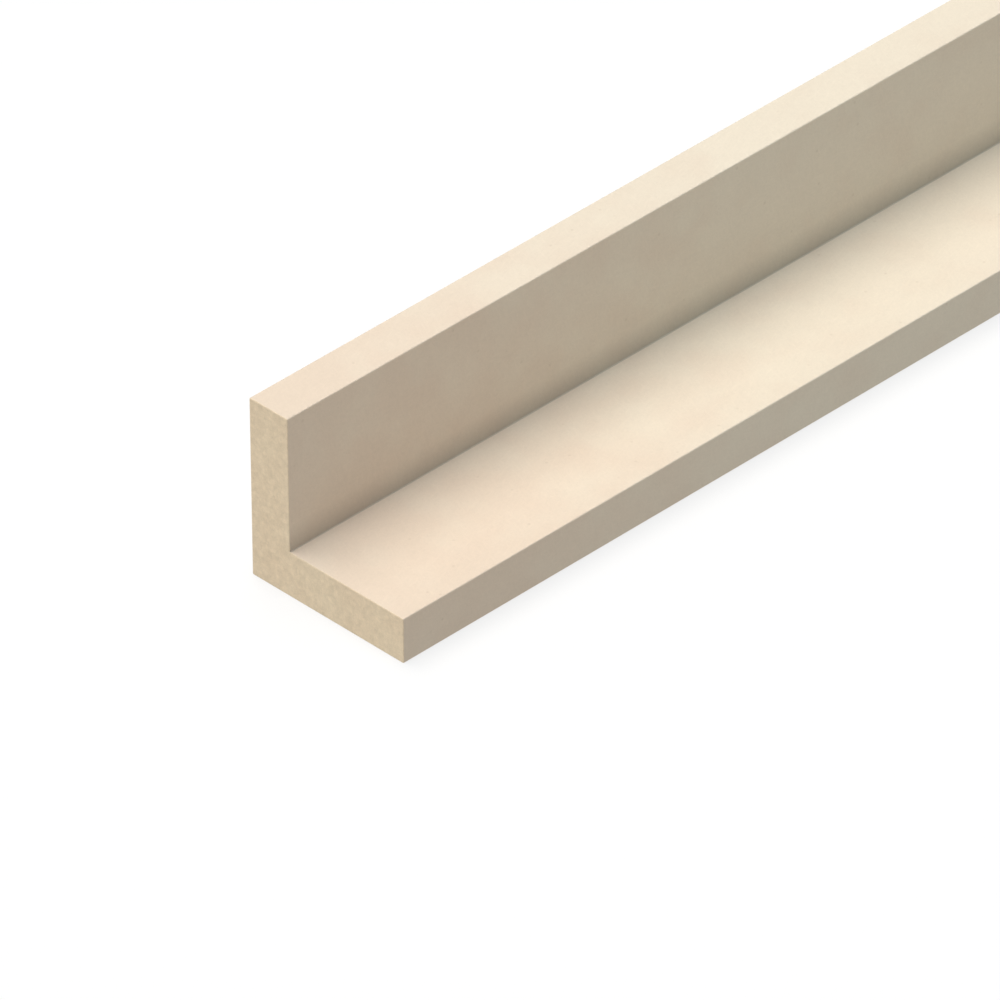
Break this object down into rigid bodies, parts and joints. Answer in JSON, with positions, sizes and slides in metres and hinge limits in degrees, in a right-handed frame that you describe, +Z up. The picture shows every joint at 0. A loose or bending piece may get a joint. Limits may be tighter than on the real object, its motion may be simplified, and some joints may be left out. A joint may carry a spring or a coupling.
{
  "type": "corner guard moulding",
  "caption": "Straight stick of raw fibreboard with an equal-legged L section, fixed over an outside wall corner to cover and protect it.",
  "frame": {"origin": "on the floor, under the middle of the flat leg, at mid-length", "axes": "+X along the length, +Z up the standing leg, the standing leg along the +Y edge and the flat leg reaching towards -Y"},
  "size_m": [2.4384, 0.0254, 0.0254],
  "materials": {
    "raw_fibreboard": "matte"
  },
  "bodies": {
    "root": {"corner_guard": "raw_fibreboard"}
  },
  "joints": []
}
